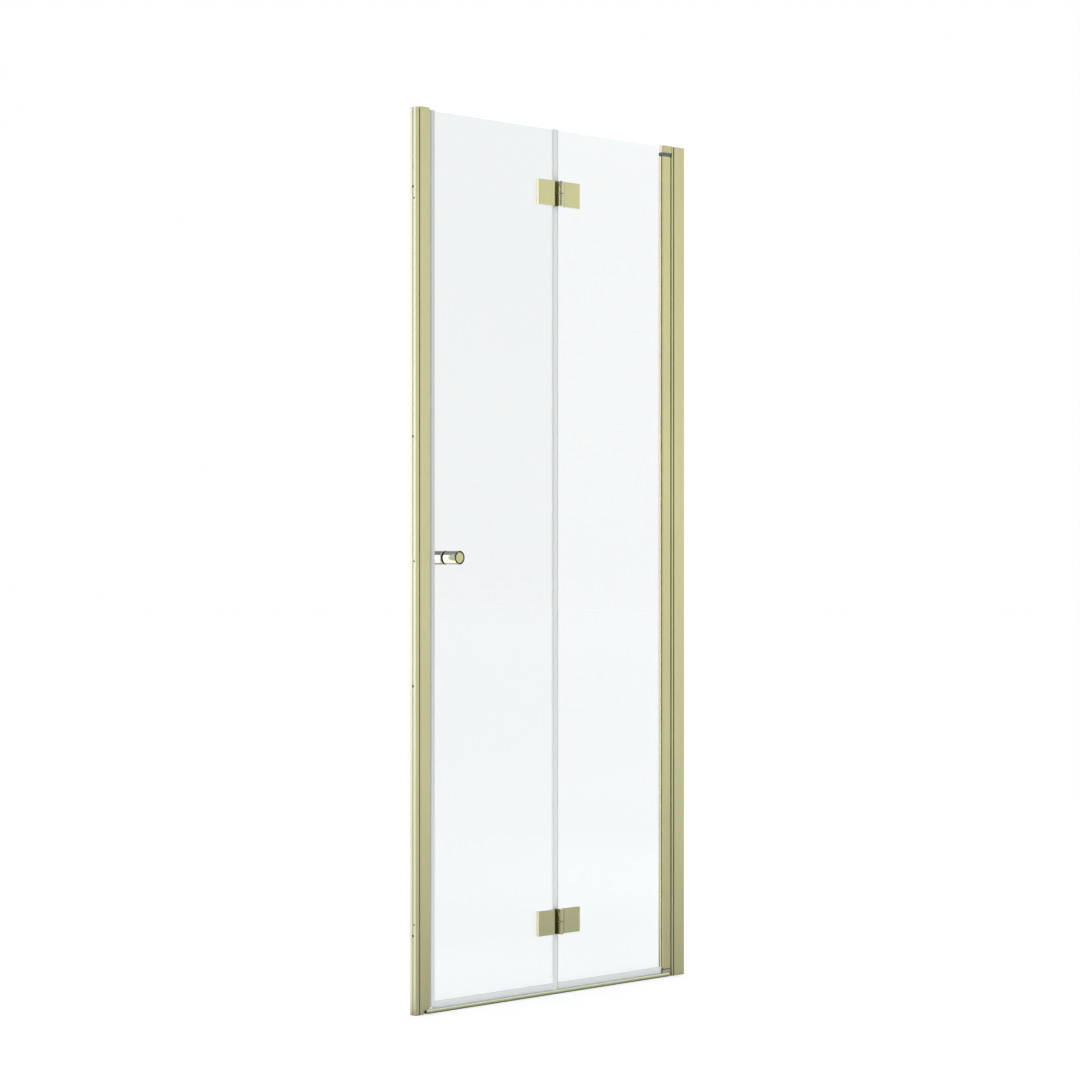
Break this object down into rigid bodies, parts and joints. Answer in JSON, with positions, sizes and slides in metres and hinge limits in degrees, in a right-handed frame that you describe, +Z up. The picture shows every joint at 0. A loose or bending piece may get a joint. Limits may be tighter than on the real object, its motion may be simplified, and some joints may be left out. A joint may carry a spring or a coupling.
{
  "type": "bifold shower door",
  "caption": "Frameless bifold shower door: glass leaves hinged together and folding against each other, turning on wall-side pivots, with wall profiles and a threshold rail.",
  "frame": {"origin": "on the floor, at the middle of the opening and half way through the glass", "axes": "+X to the right across the opening as seen from outside, towards the wall that carries the pivots; +Y into the shower; +Z up"},
  "size_m": [0.9024, 0.088, 2.0024],
  "materials": {
    "gold_profile": "pale gold satin-anodised extrusion, fine brush lines along its length",
    "gold_casting": "pale gold satin coating on a small casting",
    "gold_hinge": "pale gold satin plating, finely brushed",
    "gold_screw": "pale gold plated screw head",
    "knob_metal": "pale gold brushed metal, turned",
    "knob_face": "pale gold turned end plate",
    "clear_glass": "clear toughened glass with polished edges",
    "clear_seal": "clear flexible extrusion, slightly milky",
    "magnet": "grey magnetic strip",
    "black_rubber": "black glazing rubber",
    "grey_plastic": "grey acetal bearing plastic",
    "sleeve_plastic": "off-white plastic",
    "steel_pin": "plain stainless steel"
  },
  "bodies": {
    "frame": {"left_wall_channel": "gold_profile", "left_closing_profile": "gold_profile", "left_top_plug": "gold_profile", "left_magnet_strip": "magnet", "left_profile_screws": "gold_screw", "right_wall_channel": "gold_profile", "right_adjusting_profile": "gold_profile", "right_profile_screws": "gold_screw", "threshold_rail": "gold_profile", "top_pivot_block": "gold_casting", "top_pivot_pin": "steel_pin", "bottom_pivot_block": "gold_casting", "bottom_pivot_pin": "steel_pin", "pivot_block_screws": "steel_pin"},
    "right_leaf": {"right_glass": "clear_glass", "pivot_profile": "gold_profile", "front_pane_gasket": "black_rubber", "back_pane_gasket": "clear_seal", "top_pivot_bush": "grey_plastic", "bottom_pivot_bush": "grey_plastic", "right_bottom_seal": "clear_seal", "lower_hinge_right_plate": "gold_hinge", "upper_hinge_right_plate": "gold_hinge", "right_hinge_pads": "clear_seal", "right_hinge_sleeves": "sleeve_plastic", "right_hinge_screws": "gold_screw", "lower_hinge_pin": "steel_pin", "upper_hinge_pin": "steel_pin", "hinge_washers": "sleeve_plastic"},
    "left_leaf": {"left_glass": "clear_glass", "magnet_seal": "clear_seal", "door_magnet": "magnet", "middle_seal": "clear_seal", "left_bottom_seal": "clear_seal", "lower_hinge_left_plate": "gold_hinge", "upper_hinge_left_plate": "gold_hinge", "left_hinge_pads": "clear_seal", "left_hinge_sleeves": "sleeve_plastic", "left_hinge_screws": "gold_screw", "front_knob": "knob_metal", "back_knob": "knob_metal", "front_knob_cap": "knob_face", "back_knob_cap": "knob_face", "knob_washers": "black_rubber", "knob_sleeve": "sleeve_plastic", "knob_spindle": "steel_pin"}
  },
  "joints": [
    {"name": "door_pivot", "type": "hinge", "parent": "frame", "child": "right_leaf", "pos_m": [0.39725, 0, 0], "axis": [0, 0, 1], "range_deg": [-90, 0]},
    {"name": "fold", "type": "hinge", "parent": "right_leaf", "child": "left_leaf", "pos_m": [0.007, -0.0175, 0], "axis": [0, 0, 1], "range_deg": [0, 170]}
  ]
}
